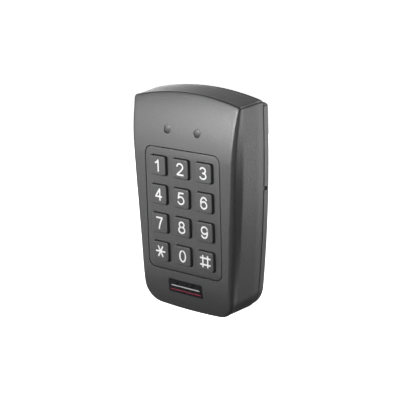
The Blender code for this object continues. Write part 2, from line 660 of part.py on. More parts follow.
def build_reader():
    remove_everything()
    case = make_material("charcoal_abs", (0.115, 0.115, 0.118), 0.5)
    bezel = make_material("bezel_abs", (0.11, 0.11, 0.113), 0.5)
    key = make_material("key_polycarbonate", (0.16, 0.16, 0.165), 0.42)
    plate = make_material("back_plate_abs", (0.13, 0.13, 0.133), 0.55)
    silicone = make_material("keypad_silicone", (0.05, 0.05, 0.05), 0.7)
    gasket = make_material("gasket_rubber", (0.015, 0.015, 0.015), 0.8)
    grommet = make_material("grommet_rubber", (0.02, 0.02, 0.02), 0.75)
    lens = make_material("smoked_lens", (0.12, 0.12, 0.12), 0.15)
    gloss = make_material("badge_gloss", (0.01, 0.01, 0.01), 0.12)
    laminate = make_material("board_laminate", (0.02, 0.12, 0.05), 0.45)
    resin = make_material("black_resin", (0.02, 0.02, 0.022), 0.5)
    copper = make_material("enamelled_copper", (0.45, 0.18, 0.06), 0.3, 1.0)
    nylon = make_material("connector_nylon", (0.75, 0.72, 0.62), 0.5)
    can = make_material("capacitor_can", (0.7, 0.7, 0.72), 0.3, 1.0)
    zinc = make_material("zinc_screw", (0.6, 0.6, 0.58), 0.35, 1.0)
    steel = make_material("stainless_screw", (0.5, 0.5, 0.5), 0.3, 1.0)

    build_cover(case)
    build_bezel(bezel)
    build_keys(key)
    build_keymat(silicone)
    build_leds(lens)
    badge_plate("badge", BADGE_WIDTH, BADGE_HEIGHT, 0.0, BADGE_THICKNESS, gloss)
    build_board(laminate)
    build_board_screws(zinc)
    build_components(resin, copper, nylon, can)
    build_gasket(gasket)
    build_back_plate(plate)
    build_grommet(grommet)
    build_case_screw(steel)


build_reader()
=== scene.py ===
"""Finished looks of the wall-mounted card reader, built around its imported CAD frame.

The outer shells, keys, lamps and badge are rebuilt here as fine meshes of the same shape, and every
piece gets a node material. Lengths are metres; +Z is up and +Y points into the wall.
"""
import math

import bmesh
import bpy
from mathutils import Matrix, Vector


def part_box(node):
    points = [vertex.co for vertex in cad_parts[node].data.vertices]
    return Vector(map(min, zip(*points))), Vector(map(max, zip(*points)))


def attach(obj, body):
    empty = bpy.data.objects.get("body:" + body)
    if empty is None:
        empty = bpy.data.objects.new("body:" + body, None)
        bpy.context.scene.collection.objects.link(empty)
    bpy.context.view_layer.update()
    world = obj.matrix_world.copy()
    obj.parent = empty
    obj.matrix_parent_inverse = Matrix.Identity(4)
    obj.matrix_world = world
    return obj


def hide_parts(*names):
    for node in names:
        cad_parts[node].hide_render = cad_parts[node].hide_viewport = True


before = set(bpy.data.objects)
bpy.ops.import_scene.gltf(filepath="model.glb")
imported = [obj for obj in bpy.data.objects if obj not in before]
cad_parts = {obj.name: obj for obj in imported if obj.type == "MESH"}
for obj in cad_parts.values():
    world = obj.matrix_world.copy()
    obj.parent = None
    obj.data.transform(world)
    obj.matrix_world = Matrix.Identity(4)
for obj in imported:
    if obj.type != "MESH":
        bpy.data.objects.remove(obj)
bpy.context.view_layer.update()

MM = 0.001
CASE = "case"                       # the fixed body; each key is a body of its own

# ---------------------------------------------------------------- driving dimensions
# Depths come from the frame
BEZEL_LOW, BEZEL_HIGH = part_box("keypad_bezel")
COVER_LOW, COVER_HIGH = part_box("front_cover")
GASKET_LOW, GASKET_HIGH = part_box("case_gasket")
FRONT_Y = BEZEL_LOW.y
COVER_REAR_Y = COVER_HIGH.y
GAP = 0.3 * MM
WALL = 2.2 * MM

# Front face: flat in the middle, bent back towards the top and the foot
BEND_TOP_Z = 23.5 * MM
BEND_TOP_RADIUS = 109.0 * MM
BEND_FOOT_Z = -38.6 * MM
BEND_FOOT_RADIUS = 84.5 * MM

# Half-widths: parabolas about the height where each is narrowest or widest
FRONT_NARROWEST = 31.5 * MM
FRONT_NARROWEST_Z = -84.0 * MM
FRONT_FLARE_RADIUS = 1650.0 * MM
SEAM_WIDEST = COVER_HIGH.x - 0.01 * MM
SEAM_WIDEST_Z = 37.65 * MM
SEAM_BOW_RADIUS = 720.0 * MM
SIDE_DRAFT = 1.13 * MM
SHOULDER_DEPTH = 6.3 * MM
SHOULDER_SLOPE = 0.018

TOP_APEX_SEAM = COVER_HIGH.z
TOP_APEX_SHOULDER = TOP_APEX_SEAM - 1.5 * MM
TOP_APEX_FRONT = TOP_APEX_SEAM - 1.95 * MM
ARCH_RADIUS = 155.0 * MM
FOOT_SEAM = COVER_LOW.z
FOOT_SHOULDER = FOOT_SEAM + 0.1 * MM
FOOT_FRONT = FOOT_SEAM + 0.45 * MM
FOOT_ARCH_RADIUS = 330.0 * MM
TOP_CORNER_FRONT = 1.8 * MM
TOP_CORNER_SEAM = 1.8 * MM
FOOT_CORNER_FRONT = 9.6 * MM
FOOT_CORNER_SEAM = 11.6 * MM
OUTLINE_STEPS = (34, 8, 54, 16, 22)  # arch, top corner, side, foot corner, foot

# Edges of the skin, between front face, shoulder and side wall
FACE_SHARES = (0.06, 0.3, 0.5, 0.62, 0.7, 0.76, 0.81, 0.855, 0.895, 0.93, 0.965)
FACE_TOP_STEP = 0.25 * MM           # the flat face ends this much short of the arch
FACE_FOOT_STEP = 0.9 * MM
EDGE_SIDE_STEP = 0.05 * MM          # the corner that the soft edge bends towards
EDGE_TOP_STEP = 0.55 * MM
EDGE_FOOT_STEP = 0.3 * MM
FRONT_EDGE_ROUND = 2.2 * MM         # reach of the soft edge between front face and shoulder
FRONT_EDGE_LIMIT = 0.5              # most of the shoulder that this reach may take
SOFTER_BELOW_Z = 5.0 * MM           # below it the soft edge spreads down the shoulder
SOFTER_SPAN = 42.0 * MM             # height over which it gets there
SOFTER_SHARE = 0.82                 # of the shoulder, where it is softest
SHOULDER_TOP_STEP = 0.05 * MM
SHOULDER_ROUND = 0.8 * MM           # reach of the edge between shoulder and side wall
SHOULDER_ROUND_LIMIT = 0.4
SHOULDER_RINGS = (0.06, 0.5, 0.94)  # rings close to the edges keep the flats flat
WALL_RINGS = (0.02, 0.33, 0.66, 0.985)
REAR_EDGE_ROUND = 0.12 * MM
COVER_SHARP = 38.0                  # degrees; steeper joints between faces show as edges

# Back plate
BASE_INSET = 0.55 * MM
BASE_TOP_INSET = 2.0 * MM
BASE_REAR_ROUND = 1.4 * MM
BASE_SHELF_Y = GASKET_HIGH.y + GAP
BASE_LIP_Y = BASE_SHELF_Y - 4.8 * MM
BASE_FLOOR_Y = -2.4 * MM
BASE_EDGE_DROP = 0.25 * MM
BASE_EDGE_INSET = 0.2 * MM
LIP_THICKNESS = 1.7 * MM
LIP_DRAFT = 0.2 * MM
LIP_TOP_INSET = 1.2 * MM
GASKET_INSET = 1.0 * MM
BASE_SHARP = 32.0
NOTCH_Z = 8.9 * MM
NOTCH_HEIGHT = 2.2 * MM
NOTCH_DEPTH = 0.9 * MM
NOTCH_CORNER = 0.3 * MM
NOTCH_REACH = 2.4 * MM              # cut in front of the shelf
SLOT_WIDTH = 3.8 * MM
SLOT_LENGTH = 8.0 * MM
SLOT_CORNER = 1.86 * MM
TOP_SLOT_Z = 42.0 * MM
FOOT_SLOT_Z = -39.0 * MM
WALL_HOLE_RADIUS = 1.9 * MM
WALL_HOLE_X = 24 * MM
WALL_HOLE_Z = 5 * MM
TAMPER_RADIUS = 1.8 * MM
TAMPER_X = 14 * MM
TAMPER_Z = -34 * MM
CABLE_HOLE_RADIUS = 8.0 * MM
GROMMET_BORE = 4.6 * MM

# Case screw in the foot
SCREW_HOLE_RADIUS = 1.8 * MM
SCREW_HOLE_TOP = FOOT_SEAM + 12 * MM
SCREW_COUNTERBORE_TOP = FOOT_SEAM + 1.5 * MM
SCREW_SEAT = FOOT_SEAM + 1.2 * MM
SCREW_SHANK_RADIUS = 1.5 * MM
SCREW_TIP_RADIUS = 0.75 * MM
RECESS_LOBES = 6
RECESS_SIDES = 72
RECESS_RADIUS = 1.05
RECESS_WAVE = 0.2
RECESS_DEPTH = 0.7 * MM
PIN_RADIUS = 0.38 * MM

# Keypad
KEYPAD_Z = (BEZEL_LOW.z + BEZEL_HIGH.z) / 2
KEY_PITCH = 16.0 * MM
KEY_WIDTH = 11.0 * MM
KEY_HEIGHT = 10.65 * MM
KEY_CORNER = 1.4 * MM
APERTURE_WIDTH = 11.7 * MM
APERTURE_HEIGHT = 11.3 * MM
BEZEL_WIDTH = 51.9 * MM
BEZEL_HEIGHT = 67.7 * MM
BEZEL_CORNER = 4.3 * MM
BEZEL_GROOVE = 0.36 * MM
BEZEL_THICKNESS = 2.8 * MM
BEZEL_FLANGE_STEP = 0.8 * MM
BEZEL_RIM = 2.0 * MM                # both rims together, round the hollow behind the plate
BEZEL_EDGE = 0.35 * MM
BEZEL_EDGE_ANGLES = (0, 22, 45, 68, 90)
BEZEL_SOFTENING = 0.16 * MM
KEY_EDGE = 0.42 * MM
KEY_TOP_FLAT = 0.5 * MM             # ring close to the edge that keeps the top flat
KEY_DRAFT = 0.2 * MM
KEY_FLANGE_GROWTH = 2.4 * MM
KEY_FLANGE_THICKNESS = 0.8 * MM
KEY_STEM = 6.0 * MM
EDGE_ANGLES = (0, 18, 36, 54, 72, 90)
KEY_NAMES = (("1", "2", "3"), ("4", "5", "6"), ("7", "8", "9"), ("star", "0", "hash"))
LEGEND_HEIGHT = 6.9 * MM
LEGEND_WIDTH = 5.1 * MM
LEGEND_STROKE = 0.88 * MM
LEGEND_LIFT = 0.03 * MM             # ink above the key's top
LEGEND_STEP = 0.004 * MM            # crossing strokes lie this much above each other
LEGEND_ROOT = 0.02 * MM             # ink below the key's top
LEGEND_MITRE = 0.55                 # keeps the outside of a tight bend from reaching too far
LEGEND_CAP_STEPS = 8

# Lamps and badge
LED_RADIUS = 2.3 * MM
LED_CROWN = 0.32 * MM               # height of the lens's dome
LED_DOME_SHARES = (0.06, 0.2, 0.35, 0.5, 0.62, 0.73, 0.82, 0.9, 0.96, 1.0)
LED_DOME_POWER = 2.6                # above 2 the dome is flat in the middle and steep at its rim
LED_FLANGE = 1.0 * MM
LED_SEAM = 0.06 * MM                # open ring round the lens
BADGE_Z = -47.5 * MM
BADGE_X = -0.45 * MM
BADGE_WIDTH = 24.0 * MM
BADGE_HEIGHT = 7.5 * MM
BADGE_THICKNESS = 0.8 * MM
BADGE_CORNER = 0.5 * MM
BADGE_STEP = 0.2 * MM               # chamfer round the plate's face
BADGE_LINE_HEIGHT = 0.6 * MM

# Camera: orbit angles in degrees, distances from the aim point inside the case
CAMERA_AZIMUTH = 41.2
CAMERA_ELEVATION = 14.95
CAMERA_ROLL = -1.63
CAMERA_AIM = Vector((0.25 * MM, -14.4 * MM, -0.68 * MM))
CAMERA_DISTANCE = 686.7 * MM
CAMERA_LENS = 114.5

# Area lights: azimuth and elevation in degrees, distance and size in metres, power in watts.
# The powers weren't chosen by hand: all but spot_high, box_right and box_side_left are the
# rounded result of a least-squares fit of the shading in the main view.
LIGHT_AIM = Vector((0.0, -15.0 * MM, 0.0))
FILL_STRENGTH = 0.11
FLOOR_GLOW = 0.95
FLOOR_DROP = 0.12
FLOOR_HALF = 6.0
WHITE = (1.0, 1.0, 1.0, 1.0)
LIGHTS = (
    ("spot_low", -20.0, 8.0, 0.3, 0.08, 0.1),
    ("spot_left", -34.0, 20.0, 0.3, 0.08, 0.16),
    ("spot_high", -17.0, 20.0, 0.3, 0.08, 0.66),
    ("box_low_left", -60.0, -18.0, 1.3, 0.6, 0.8),
    ("box_front_left", -50.0, 0.0, 1.3, 0.6, 3.15),
    ("box_front", -25.0, 0.0, 1.3, 0.6, 5.2),
    ("box_front_right", 25.0, -5.0, 1.0, 0.5, 0.76),
    ("box_half_right", 50.0, -5.0, 1.0, 0.5, 0.6),
    ("box_right", 72.0, 8.0, 1.0, 0.5, 2.1),
    ("box_right_edge", 110.0, -5.0, 1.0, 0.4, 0.22),
    ("box_right_rear", 125.0, -5.0, 1.0, 0.4, 0.9),
    ("box_rear_right", 140.0, -5.0, 1.0, 0.4, 2.26),
    ("box_rear", 170.0, -5.0, 1.0, 0.4, 0.95),
    ("box_low_right_rear", 125.0, -25.0, 1.0, 0.4, 0.14),
    ("box_low_rear_right", 145.0, -25.0, 1.0, 0.4, 0.43),
    ("box_rear_left", -135.0, 0.0, 1.0, 0.4, 1.24),
    ("box_rear_left_mid", -135.0, 26.0, 1.0, 0.4, 0.3),
    ("box_high_rear", 160.0, 40.0, 1.0, 0.4, 2.7),
    ("box_high_rear_left", -160.0, 40.0, 1.0, 0.4, 0.33),
    ("box_high_left", -120.0, 40.0, 1.0, 0.4, 0.44),
    ("box_side_left", -105.0, 10.0, 1.0, 0.5, 2.5),
)


# ---------------------------------------------------------------- mesh helpers
def shade(mesh, sharp):
    """Smooth shading, but for edges steeper than sharp degrees."""
    mesh.shade_smooth()
    mesh.set_sharp_from_angle(angle=math.radians(sharp))


def object_from(name, bm, material, sharp=32.0):
    """Turns a bmesh into an object with outward faces, smooth but for its sharp edges."""
    bmesh.ops.recalc_face_normals(bm, faces=bm.faces)
    mesh = bpy.data.meshes.new(name)
    bm.to_mesh(mesh)
    bm.free()
    shade(mesh, sharp)
    if material:
        mesh.materials.append(material)
    item = bpy.data.objects.new(name, mesh)
    bpy.context.scene.collection.objects.link(item)
    return item


def bridge(bm, rings, closed=False):
    """Quads between successive rings; closed joins the last ring to the first."""
    loops = [[bm.verts.new(point) for point in ring] for ring in rings]
    count = len(loops[0])
    following = loops[1:] + loops[:1] if closed else loops[1:]
    for near, far in zip(loops, following):
        for i in range(count):
            j = (i + 1) % count
            bm.faces.new((near[i], near[j], far[j], far[i]))
    return loops


def loft(name, rings, material, sharp=32.0):
    """Closed solid through equal rings, with a cap at each end."""
    bm = bmesh.new()
    loops = bridge(bm, rings)
    bm.faces.new(loops[0])
    bm.faces.new(list(reversed(loops[-1])))
    return object_from(name, bm, material, sharp)


def hoop(name, rings, material):
    """Closed ring: the section's rings join head to tail."""
    bm = bmesh.new()
    bridge(bm, rings, closed=True)
    return object_from(name, bm, material)


def rounded_rectangle(width, height, corner, steps=8):
    points = []
    for quarter, (sx, sz) in enumerate(((1, 1), (-1, 1), (-1, -1), (1, -1))):
        for step in range(steps + 1):
            angle = math.radians(90.0) * (quarter + step / steps)
            points.append((sx * (width / 2 - corner) + corner * math.cos(angle),
                           sz * (height / 2 - corner) + corner * math.sin(angle)))
    return points


def circle(radius, sides=48):
    return [(radius * math.cos(math.tau * i / sides), radius * math.sin(math.tau * i / sides))
            for i in range(sides)]


def at_depth(points, y, x=0.0, z=0.0):
    return [Vector((x + px, y, z + pz)) for px, pz in points]


def prism(name, points, y_front, y_back, x=0.0, z=0.0):
    """Plain cutter along Y."""
    return loft(name, [at_depth(points, y_front, x, z), at_depth(points, y_back, x, z)], None)


def level_ring(radius, y, z, sides=48):
    """Circle at height z about the line x = 0 at depth y."""
    return [Vector((px, y + pz, z)) for px, pz in circle(radius, sides)]


def rounded_edge(radius, degrees):
    """Inset and depth along a rounded edge, one pair for each angle."""
    return [(radius * (1 - math.sin(a)), radius * (1 - math.cos(a)))
            for a in (math.radians(d) for d in degrees)]


def middle_of(node):
    """Middle of a CAD node's box, as x, y and z."""
    low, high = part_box(node)
    return (low.x + high.x) / 2, (low.y + high.y) / 2, (low.z + high.z) / 2


def cut(item, cutters):
    """Applies the cutters to the mesh one after the other and removes them."""
    for cutter in cutters:
        modifier = item.modifiers.new("cut", "BOOLEAN")
        modifier.operation = "DIFFERENCE"
        modifier.solver = "EXACT"
        modifier.object = cutter
    bake_modifiers(item)
    for cutter in cutters:
        bpy.data.objects.remove(cutter, do_unlink=True)


def bake_modifiers(item):
    """Replaces the object's mesh by the evaluated one."""
    depsgraph = bpy.context.evaluated_depsgraph_get()
    mesh = bpy.data.meshes.new_from_object(item.evaluated_get(depsgraph))
    item.modifiers.clear()
    item.data = mesh


def soften(item, width):
    """Small round edges where faces meet at a steep angle."""
    modifier = item.modifiers.new("soften", "BEVEL")
    modifier.width = width
    modifier.segments = 3
    modifier.limit_method = "ANGLE"
    modifier.angle_limit = math.radians(50.0)
    modifier.use_clamp_overlap = True
    bake_modifiers(item)
    shade(item.data, 14.0)


def place(item, body, slot, *nodes):
    """The piece rides on a body and stands for CAD nodes, which it hides; slot is not used."""
    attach(item, body)
    if nodes:
        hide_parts(*nodes)
    return item


# ---------------------------------------------------------------- the case's shape
def front_surface(z):
    """Y of the outer front face at height z."""
    if z > BEND_TOP_Z:
        return FRONT_Y + (z - BEND_TOP_Z) ** 2 / (2 * BEND_TOP_RADIUS)
    if z < BEND_FOOT_Z:
        return FRONT_Y + (BEND_FOOT_Z - z) ** 2 / (2 * BEND_FOOT_RADIUS)
    return FRONT_Y


def front_half_width(z):
    return FRONT_NARROWEST + (z - FRONT_NARROWEST_Z) ** 2 / (2 * FRONT_FLARE_RADIUS)


def seam_half_width(z):
    return SEAM_WIDEST - (z - SEAM_WIDEST_Z) ** 2 / (2 * SEAM_BOW_RADIUS)


def shoulder_depth(z):
    return FRONT_Y + SHOULDER_DEPTH + SHOULDER_SLOPE * z


def fillet(corner, start, end, steps):
    """Points of a round corner from start to end, both excluded."""
    legs = (start - corner).normalized().dot((end - corner).normalized())
    weight = math.sin(math.acos(legs) / 2)
    points = []
    for i in range(1, steps):
        t = i / steps
        blend = ((1 - t) ** 2, 2 * t * (1 - t) * weight, t * t)
        points.append((start * blend[0] + corner * blend[1] + end * blend[2]) / sum(blend))
    return points


def outline(half_width, apex, foot, top_corner, foot_corner):
    """Closed outline (x, z): arched top, bowed sides, round lower corners."""
    arch_steps, top_steps, side_steps, low_steps, foot_steps = OUTLINE_STEPS
    def arch(x):
        return apex - x * x / (2 * ARCH_RADIUS)

    def sole(x):
        return foot + x * x / (2 * FOOT_ARCH_RADIUS)

    top = Vector((half_width(apex), arch(half_width(apex))))
    low = Vector((half_width(foot), sole(half_width(foot))))
    for _ in range(5):
        top = Vector((half_width(top.y), arch(half_width(top.y))))
        low = Vector((half_width(low.y), sole(half_width(low.y))))
    reach = top_corner * 0.8
    top_start = Vector((top.x - reach, arch(top.x - reach)))
    top_end = Vector((half_width(top.y - reach), top.y - reach))
    low_start = Vector((half_width(low.y + foot_corner), low.y + foot_corner))
    low_end = Vector((low.x - foot_corner, sole(low.x - foot_corner)))

    half = []
    for i in range(arch_steps + 1):
        x = top_start.x * i / arch_steps
        half.append(Vector((x, arch(x))))
    half += fillet(top, top_start, top_end, top_steps)
    for i in range(side_steps + 1):
        z = top_end.y + (low_start.y - top_end.y) * i / side_steps
        half.append(Vector((half_width(z), z)))
    half += fillet(low, low_start, low_end, low_steps)
    for i in range(foot_steps + 1):
        x = low_end.x * (1 - i / foot_steps)
        half.append(Vector((x, sole(x))))
    return half + [Vector((-p.x, p.y)) for p in reversed(half[1:-1])]


def curve_through(start, corner, end, steps):
    """Soft edge: a quadratic curve from start to end that is pulled towards the corner."""
    return [start * (1 - t) ** 2 + corner * 2 * t * (1 - t) + end * t * t
            for t in (i / steps for i in range(steps + 1))]


def skin_rings(inset, rear_y):
    """Rings of the cover's skin, from the middle of the front face to the rear edge."""
    face = outline(lambda z: front_half_width(z) - inset - FRONT_EDGE_ROUND,
                   TOP_APEX_FRONT - inset - FACE_TOP_STEP, FOOT_FRONT + inset + FACE_FOOT_STEP,
                   TOP_CORNER_FRONT, FOOT_CORNER_FRONT)
    edge = outline(lambda z: front_half_width(z) - inset + EDGE_SIDE_STEP,
                   TOP_APEX_FRONT - inset + EDGE_TOP_STEP, FOOT_FRONT + inset - EDGE_FOOT_STEP,
                   TOP_CORNER_FRONT, FOOT_CORNER_FRONT)
    shoulder = outline(lambda z: seam_half_width(z) - inset - SIDE_DRAFT,
                       TOP_APEX_SHOULDER - inset + SHOULDER_TOP_STEP, FOOT_SHOULDER + inset,
                       TOP_CORNER_FRONT, FOOT_CORNER_FRONT)
    seam = outline(lambda z: seam_half_width(z) - inset, TOP_APEX_SEAM - inset,
                   FOOT_SEAM + inset, TOP_CORNER_SEAM, FOOT_CORNER_SEAM)
    middle = Vector((0.0, KEYPAD_Z))
    profiles = []
    for f, e, s, r in zip(face, edge, shoulder, seam):
        start = Vector((f.x, front_surface(f.y) + inset, f.y))
        corner = Vector((e.x, front_surface(e.y) + inset, e.y))
        outer = Vector((s.x, shoulder_depth(s.y) + inset * 0.4, s.y))
        rear = Vector((r.x, rear_y, r.y))
        slant = outer - corner
        wall = rear - outer
        softer = min(max((SOFTER_BELOW_Z - e.y) / SOFTER_SPAN, 0.0), 1.0)
        sharp_share = min(FRONT_EDGE_ROUND / slant.length, FRONT_EDGE_LIMIT)
        after_edge = corner + slant * (sharp_share + (SOFTER_SHARE - sharp_share) * softer)
        before_outer = outer - slant * min(SHOULDER_ROUND / slant.length, SHOULDER_ROUND_LIMIT)
        after_outer = outer + wall * (SHOULDER_ROUND / wall.length)
        inner_face = [middle + (f - middle) * share for share in FACE_SHARES]
        profile = [Vector((p.x, front_surface(p.y) + inset, p.y)) for p in inner_face]
        profile += curve_through(start, corner, after_edge, 8)
        profile += [after_edge.lerp(before_outer, share) for share in SHOULDER_RINGS]
        profile += curve_through(before_outer, outer, after_outer, 6)
        profile += [after_outer.lerp(rear, share) for share in WALL_RINGS]
        profile.append(rear - Vector((r.x, 0.0, r.y)).normalized() * REAR_EDGE_ROUND)
        profiles.append(profile)
    return [list(ring) for ring in zip(*profiles)]


def badge_solid(name, width, height, y_front, y_back, material, corner=BADGE_CORNER,
                chamfer=0.0, drop=0.0):
    """Plate lying on the front surface where that bends back; depths are below the surface.

    A chamfer adds a smaller face level with the surface, and drop lowers the plate along it.
    """
    tilt = math.atan2(front_surface(BADGE_Z - BADGE_HEIGHT / 2)
                      - front_surface(BADGE_Z + BADGE_HEIGHT / 2), BADGE_HEIGHT)
    rings = [at_depth(rounded_rectangle(width, height, corner), y_front)]
    if chamfer:
        rings.insert(0, at_depth(rounded_rectangle(width - chamfer, height - chamfer, corner), 0.0))
    rings.append(at_depth(rounded_rectangle(width, height, corner), y_back))
    plate = loft(name, [[p - Vector((0.0, 0.0, drop)) for p in ring] for ring in rings], material)
    plate.data.transform(Matrix.Translation((BADGE_X, front_surface(BADGE_Z), BADGE_Z))
                         @ Matrix.Rotation(tilt, 4, "X"))
    return plate


# ---------------------------------------------------------------- materials
class Shader:
    """A node material under construction, with a Principled shader at its end."""

    def __init__(self, name, colour, roughness, metallic=0.0):
        self.material = bpy.data.materials.new(name)
        self.material.use_nodes = True
        self.nodes = self.material.node_tree.nodes
        self.links = self.material.node_tree.links
        self.main = self.nodes["Principled BSDF"]
        self.colour = colour
        self.main.inputs["Base Color"].default_value = (*colour, 1.0)
        self.main.inputs["Roughness"].default_value = roughness
        self.main.inputs["Metallic"].default_value = metallic
        self.place = self.nodes.new("ShaderNodeTexCoord").outputs["Object"]

    def noise(self, size, detail=3.0, roughness=0.6):
        """Noise whose grains are about size metres across."""
        node = self.nodes.new("ShaderNodeTexNoise")
        node.inputs["Scale"].default_value = 1.0 / size
        node.inputs["Detail"].default_value = detail
        node.inputs["Roughness"].default_value = roughness
        self.links.new(self.place, node.inputs["Vector"])
        return node.outputs["Fac"]

    def cells(self, size):
        node = self.nodes.new("ShaderNodeTexVoronoi")
        node.inputs["Scale"].default_value = 1.0 / size
        self.links.new(self.place, node.inputs["Vector"])
        return node.outputs["Distance"]

    def stretch(self, factor):
        """Scales the texture space along each axis before the next textures."""
        node = self.nodes.new("ShaderNodeMapping")
        node.inputs["Scale"].default_value = factor
        self.links.new(self.place, node.inputs["Vector"])
        self.place = node.outputs["Vector"]

    def vary_colour(self, field, dark, light, low=0.3, high=0.7):
        """Colour between two multiples of the base colour, following a field."""
        ramp = self.nodes.new("ShaderNodeValToRGB")
        ramp.color_ramp.elements[0].position = low
        ramp.color_ramp.elements[1].position = high
        ramp.color_ramp.elements[0].color = (*[c * dark for c in self.colour], 1.0)
        ramp.color_ramp.elements[1].color = (*[min(c * light, 1.0) for c in self.colour], 1.0)
        self.links.new(field, ramp.inputs["Fac"])
        self.links.new(ramp.outputs["Color"], self.main.inputs["Base Color"])

    def vary_roughness(self, field, low, high):
        node = self.nodes.new("ShaderNodeMapRange")
        node.inputs["From Min"].default_value = 0.3
        node.inputs["From Max"].default_value = 0.7
        node.inputs["To Min"].default_value = low
        node.inputs["To Max"].default_value = high
        self.links.new(field, node.inputs["Value"])
        self.links.new(node.outputs["Result"], self.main.inputs["Roughness"])

    def bump(self, field, height):
        """Relief of the given height in metres; calls add up."""
        node = self.nodes.new("ShaderNodeBump")
        node.inputs["Strength"].default_value = 1.0
        node.inputs["Distance"].default_value = height
        self.links.new(field, node.inputs["Height"])
        if self.main.inputs["Normal"].is_linked:
            self.links.new(self.main.inputs["Normal"].links[0].from_socket, node.inputs["Normal"])
        self.links.new(node.outputs["Normal"], self.main.inputs["Normal"])


def textured_plastic(name, colour, roughness, relief=0.1 * MM):
    """Spark-eroded moulded plastic: fine grain, faint mottling, uneven gloss."""
    shader = Shader(name, colour, roughness)
    shader.vary_colour(shader.noise(1.1 * MM, 4.0, 0.7), 0.86, 1.15)
    shader.vary_roughness(shader.noise(0.7 * MM), roughness - 0.05, roughness + 0.06)
    shader.bump(shader.noise(0.8 * MM, 3.0), relief)
    shader.bump(shader.cells(0.6 * MM), relief * 0.25)
    return shader.material


def satin_plastic(name, colour, roughness):
    """Finely moulded plastic, evener and smoother than the case."""
    shader = Shader(name, colour, roughness)
    shader.vary_colour(shader.noise(2.0 * MM), 0.93, 1.07)
    shader.vary_roughness(shader.noise(0.9 * MM), roughness - 0.04, roughness + 0.05)
    shader.bump(shader.noise(0.25 * MM, 2.0), 0.004 * MM)
    return shader.material


def printed_ink(name, colour):
    """Ink laid on a smooth surface, with a slightly uneven tone."""
    shader = Shader(name, colour, 0.45)
    shader.vary_colour(shader.noise(0.5 * MM), 0.94, 1.0)
    shader.bump(shader.noise(0.2 * MM), 0.003 * MM)
    return shader.material


def rubber(name, colour, roughness=0.7):
    """Dull rubber or silicone with a dusty, uneven tone."""
    shader = Shader(name, colour, roughness)
    shader.vary_colour(shader.noise(1.5 * MM), 0.8, 1.3)
    shader.vary_roughness(shader.noise(0.6 * MM), roughness - 0.08, roughness + 0.08)
    shader.bump(shader.noise(0.4 * MM), 0.01 * MM)
    return shader.material


def smoked_lens(name):
    """Grey diffused lens with a soft clear surface."""
    shader = Shader(name, (0.024, 0.024, 0.025), 0.42)
    shader.main.inputs["Coat Weight"].default_value = 0.1
    shader.main.inputs["Coat Roughness"].default_value = 0.3
    shader.vary_colour(shader.noise(1.2 * MM), 0.85, 1.15)
    shader.vary_roughness(shader.noise(0.5 * MM), 0.36, 0.48)
    shader.bump(shader.noise(0.3 * MM), 0.003 * MM)
    return shader.material


def gloss_plate(name, colour):
    """Printed film, smooth but with a weak reflection."""
    shader = Shader(name, colour, 0.3)
    shader.main.inputs["Specular IOR Level"].default_value = 0.12
    shader.vary_colour(shader.noise(1.0 * MM), 0.8, 1.3)
    shader.vary_roughness(shader.noise(3.0 * MM), 0.24, 0.38)
    shader.bump(shader.noise(2.5 * MM), 0.004 * MM)
    return shader.material


def turned_metal(name, colour, roughness):
    """Plated or stainless screw: fine turning marks and small stains."""
    shader = Shader(name, colour, roughness, 1.0)
    shader.vary_colour(shader.noise(1.3 * MM), 0.8, 1.1)
    shader.stretch((1.0, 1.0, 9.0))
    shader.vary_roughness(shader.noise(0.4 * MM), roughness - 0.08, roughness + 0.12)
    shader.bump(shader.noise(0.3 * MM), 0.006 * MM)
    return shader.material


def wound_copper(name):
    """Enamelled wire laid in turns: stripes around the coil."""
    shader = Shader(name, (0.5, 0.2, 0.07), 0.3, 1.0)
    wave = shader.nodes.new("ShaderNodeTexWave")
    wave.bands_direction = "Y"
    wave.inputs["Scale"].default_value = 1.0 / (2.0 * MM)
    wave.inputs["Distortion"].default_value = 0.6
    shader.links.new(shader.place, wave.inputs["Vector"])
    shader.vary_colour(wave.outputs["Fac"], 0.5, 1.15, 0.1, 0.9)
    shader.bump(wave.outputs["Fac"], 0.1 * MM)
    return shader.material


def laminate(name):
    """Solder mask over glass cloth, with copper areas showing through."""
    shader = Shader(name, (0.012, 0.11, 0.04), 0.35)
    brick = shader.nodes.new("ShaderNodeTexBrick")
    brick.inputs["Scale"].default_value = 1.0 / (4.0 * MM)
    brick.inputs["Color1"].default_value = (0.012, 0.1, 0.036, 1.0)
    brick.inputs["Color2"].default_value = (0.016, 0.15, 0.055, 1.0)
    brick.inputs["Mortar"].default_value = (0.02, 0.2, 0.08, 1.0)
    brick.inputs["Mortar Size"].default_value = 0.05
    turn = shader.nodes.new("ShaderNodeMapping")
    turn.inputs["Rotation"].default_value = (math.radians(90.0), 0.0, 0.0)
    shader.links.new(shader.place, turn.inputs["Vector"])
    shader.links.new(turn.outputs["Vector"], brick.inputs["Vector"])
    shader.links.new(brick.outputs["Color"], shader.main.inputs["Base Color"])
    shader.bump(brick.outputs["Fac"], 0.02 * MM)
    return shader.material


